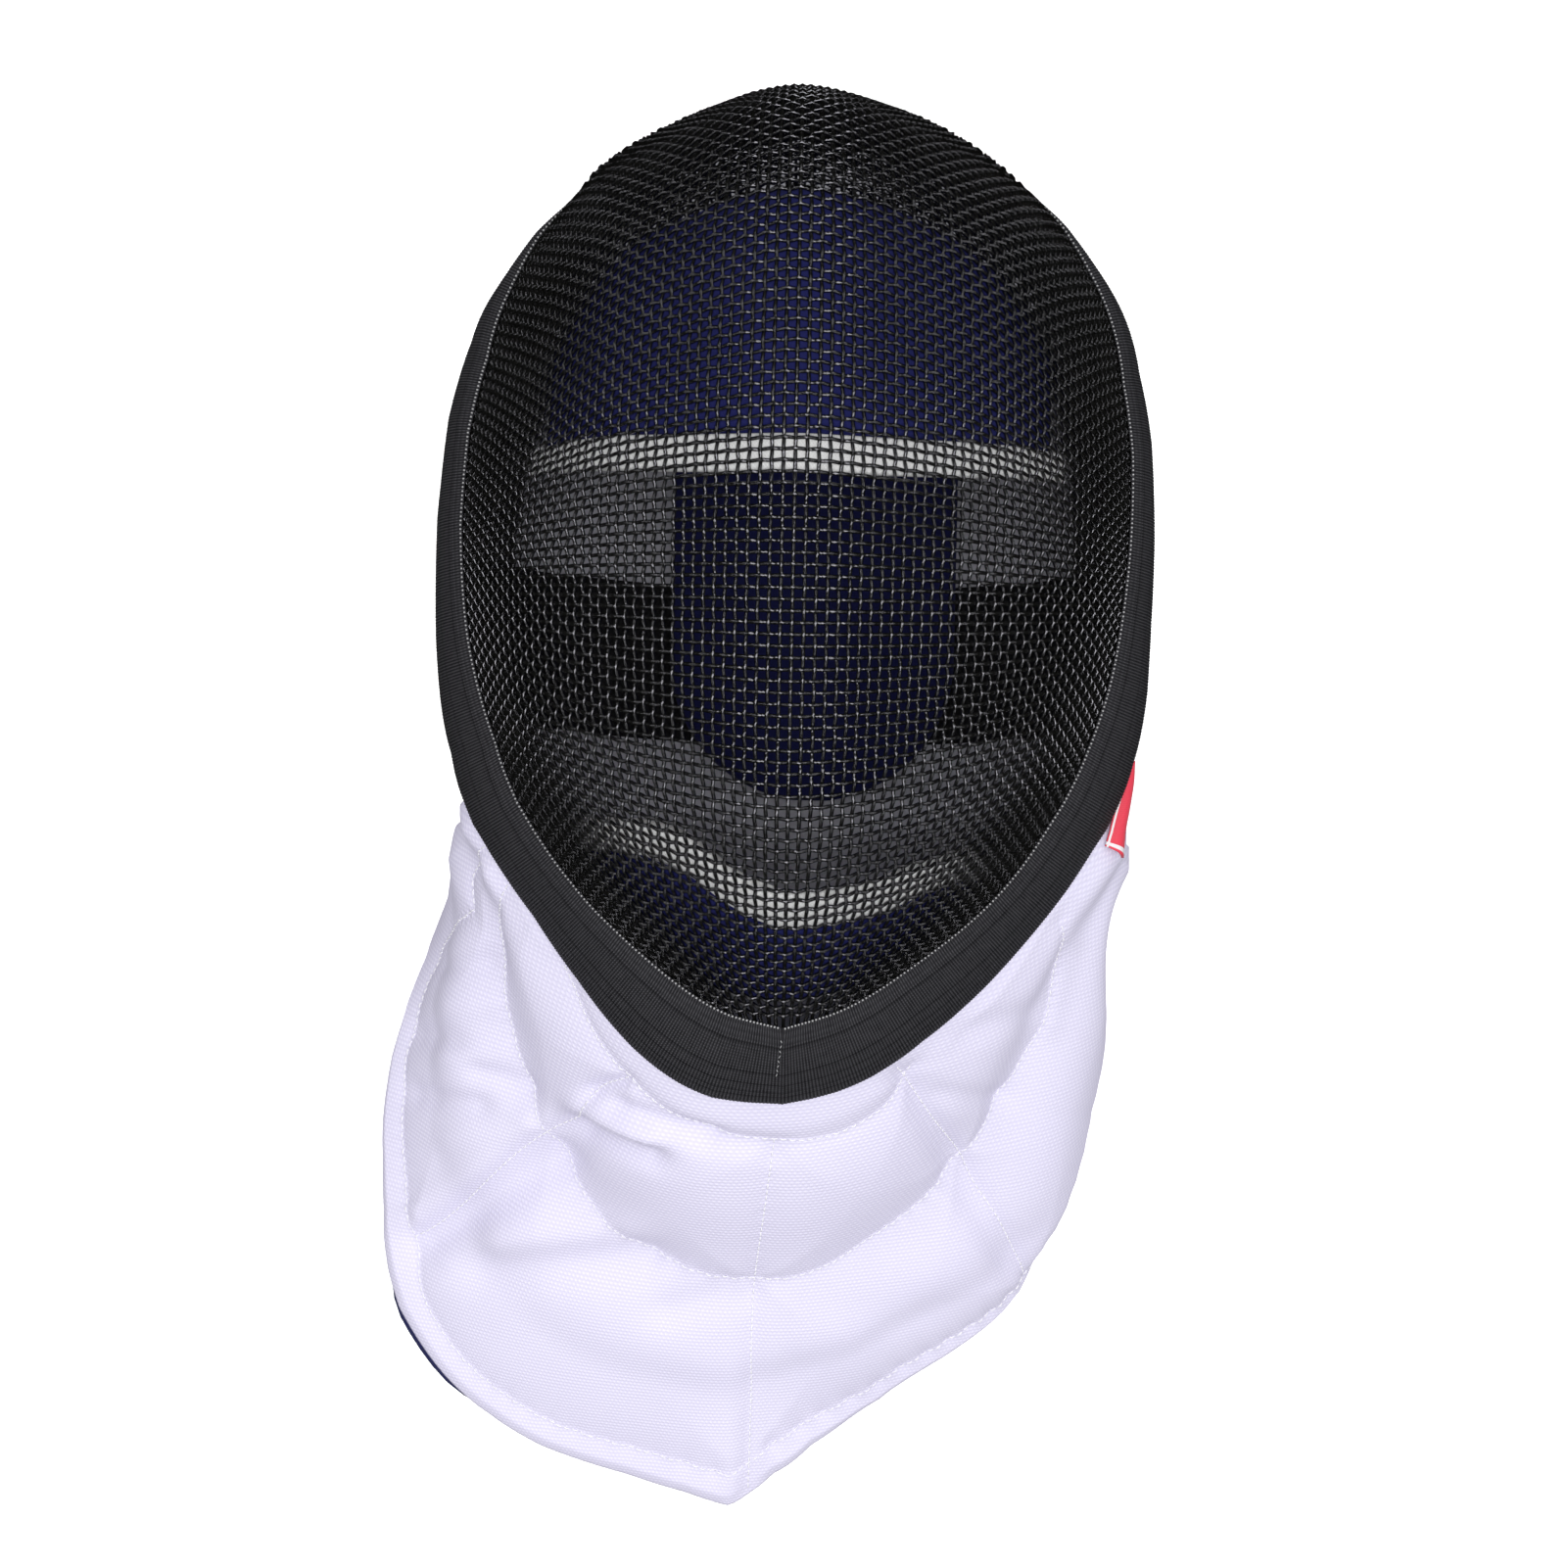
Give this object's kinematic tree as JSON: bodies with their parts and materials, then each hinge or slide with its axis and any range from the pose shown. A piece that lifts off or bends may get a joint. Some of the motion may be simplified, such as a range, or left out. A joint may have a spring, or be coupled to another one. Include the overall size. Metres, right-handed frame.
{
  "type": "fencing mask",
  "caption": "Fencing mask lying face up: ridged wire face, elastic edge trim, wire back, inner pads, rear tongue and strap, and a quilted throat bib spread below the chin.",
  "frame": {"origin": "on the surface that the mask lies on, under the middle of the whole object", "axes": "+Z out of the wire face, +Y from the bib to the crown, +X to the right as seen from above the face"},
  "size_m": [0.2352, 0.4377, 0.1957],
  "materials": {
    "wire": "dark olive-grey coated woven wire, satin",
    "trim": "black ribbed elastic, matt",
    "bib_fabric": "pale lavender-white woven fabric, quilted and stitched",
    "navy_fabric": "navy brushed lining fabric",
    "white_binding": "white woven tape",
    "strap_elastic": "black woven elastic",
    "tab_fabric": "red woven tape with white edge lines"
  },
  "bodies": {
    "root": {"face_mesh": "wire", "back_mesh": "wire", "edge_trim": "trim", "rear_rim": "trim", "bib": "bib_fabric", "bib_lining": "navy_fabric", "forehead_pad": "navy_fabric", "brow_band": "white_binding", "chin_pad": "navy_fabric", "chin_band": "white_binding", "tongue": "navy_fabric", "rear_strap": "strap_elastic", "side_tab": "tab_fabric"}
  },
  "joints": []
}
